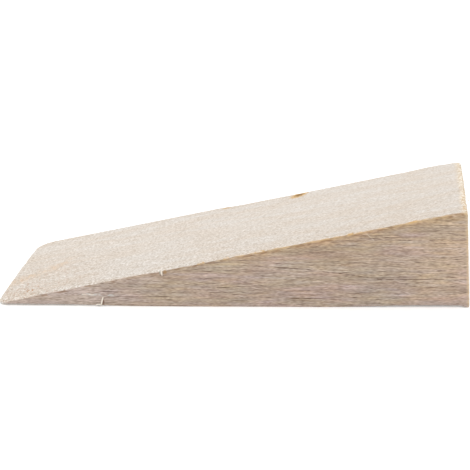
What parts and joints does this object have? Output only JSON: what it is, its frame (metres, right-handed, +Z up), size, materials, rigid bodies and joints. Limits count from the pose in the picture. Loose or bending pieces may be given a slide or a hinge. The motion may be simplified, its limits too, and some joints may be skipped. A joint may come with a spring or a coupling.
{
  "type": "door wedge",
  "caption": "Solid wooden door wedge: a long block tapered from a tall square heel to a thin tip, with a flat base and a sloping top that holds a door.",
  "frame": {"origin": "middle of the flat base, midway between tip and heel", "axes": "+X from the thin tip to the tall heel, Y across the width, +Z up from the floor"},
  "size_m": [0.12, 0.045, 0.0248],
  "materials": {
    "beech": "raw sawn and sanded beech, unvarnished and matte, pale cream on the sloping top and warmer tan on the sides"
  },
  "bodies": {
    "root": {"wedge_block": "beech"}
  },
  "joints": []
}
